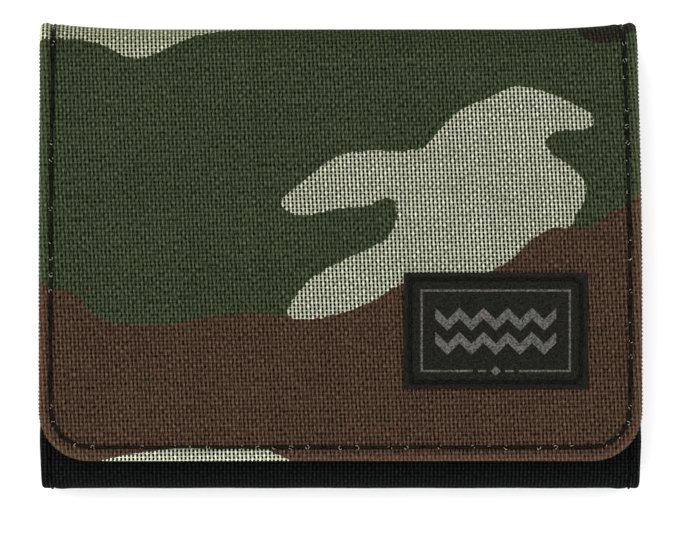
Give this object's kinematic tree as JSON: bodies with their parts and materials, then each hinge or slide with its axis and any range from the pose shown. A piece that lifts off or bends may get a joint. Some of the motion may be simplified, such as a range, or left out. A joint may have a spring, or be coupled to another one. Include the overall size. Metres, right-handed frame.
{
  "type": "trifold wallet",
  "caption": "Closed trifold fabric wallet in camouflage cloth, with a hook-and-loop flap, a sewn label and a coin pocket zip inside.",
  "frame": {"origin": "middle of the face that the closed wallet lies on", "axes": "+X along the folds, +Y towards the top fold, +Z out of the front flap"},
  "size_m": [0.12, 0.092, 0.0183],
  "materials": {
    "cover_cloth": "heavy plain-weave polyester printed in camouflage",
    "black_cloth": "heavy plain-weave polyester, black",
    "lining": "light woven nylon, black",
    "interlining": "stiff felted padding, hidden",
    "tape": "woven zip tape, black",
    "thread": "bonded polyester thread, black",
    "hook_and_loop": "nylon hook and loop tape, black",
    "label": "woven black label with a grey frame",
    "window_film": "clear flexible film",
    "zip_coil": "black nylon teeth",
    "zip_metal": "black-painted die casting, worn at its edges"
  },
  "bodies": {
    "back": {"back_cover": "cover_cloth", "back_interlining": "interlining", "back_stitching_left": "thread", "back_stitching_right": "thread", "bill_divider": "lining", "card_backing": "lining", "card_pocket_rear": "lining", "card_pocket_middle": "lining", "card_pocket_front": "lining"},
    "top_spine": {"top_spine_cover": "cover_cloth", "top_spine_lining": "lining"},
    "flap": {"flap_cover": "cover_cloth", "flap_interlining": "interlining", "flap_lining": "lining", "flap_slip_pocket": "lining", "flap_stitching": "thread", "hook_strip": "hook_and_loop", "hook_strip_stitching": "thread", "label": "label", "label_stitching": "thread"},
    "bottom_spine": {"bottom_spine_cover": "black_cloth", "bottom_spine_lining": "lining"},
    "inner_panel": {"inner_cover_lower": "black_cloth", "inner_cover_upper": "black_cloth", "inner_stitching_left": "thread", "inner_stitching_right": "thread", "coin_pocket_back": "lining", "id_window_frame": "lining", "id_window_film": "window_film", "loop_strip": "hook_and_loop", "loop_strip_stitching": "thread", "zip_tape_lower": "tape", "zip_tape_upper": "tape", "zip_teeth_lower": "zip_coil", "zip_teeth_upper": "zip_coil", "zip_bottom_stop": "zip_metal", "zip_top_stop_lower": "zip_metal", "zip_top_stop_upper": "zip_metal", "zip_stitching_lower": "thread", "zip_stitching_upper": "thread"},
    "zip_slider": {"zip_slider": "zip_metal"},
    "zip_pull": {"zip_pull": "zip_metal"}
  },
  "joints": [
    {"name": "top_spine_fold", "type": "hinge", "parent": "back", "child": "top_spine", "pos_m": [0, 0.04493, 0.00107], "axis": [-1, 0, 0], "range_deg": [0, 90]},
    {"name": "flap_fold", "type": "hinge", "parent": "top_spine", "child": "flap", "pos_m": [0, 0.04493, 0.01643], "axis": [-1, 0, 0], "range_deg": [0, 90]},
    {"name": "bottom_spine_fold", "type": "hinge", "parent": "back", "child": "bottom_spine", "pos_m": [0, -0.04493, 0.00107], "axis": [1, 0, 0], "range_deg": [0, 90]},
    {"name": "inner_panel_fold", "type": "hinge", "parent": "bottom_spine", "child": "inner_panel", "pos_m": [0, -0.04493, 0.01083], "axis": [1, 0, 0], "range_deg": [0, 90]},
    {"name": "zip_slide", "type": "slide", "parent": "inner_panel", "child": "zip_slider", "axis": [-1, 0, 0], "range_m": [0, 0.072]},
    {"name": "zip_pull_swing", "type": "hinge", "parent": "zip_slider", "child": "zip_pull", "pos_m": [0.038, 0.006, 0.0136], "axis": [0, 1, 0], "range_deg": [0, 170]}
  ],
  "couplings": [
    {"joint": "flap_fold", "follows": "top_spine_fold", "ratio": 1},
    {"joint": "bottom_spine_fold", "follows": "top_spine_fold", "ratio": 0.675},
    {"joint": "inner_panel_fold", "follows": "top_spine_fold", "ratio": 0.675},
    {"joint": "zip_pull_swing", "follows": "top_spine_fold", "ratio": 0.35}
  ]
}
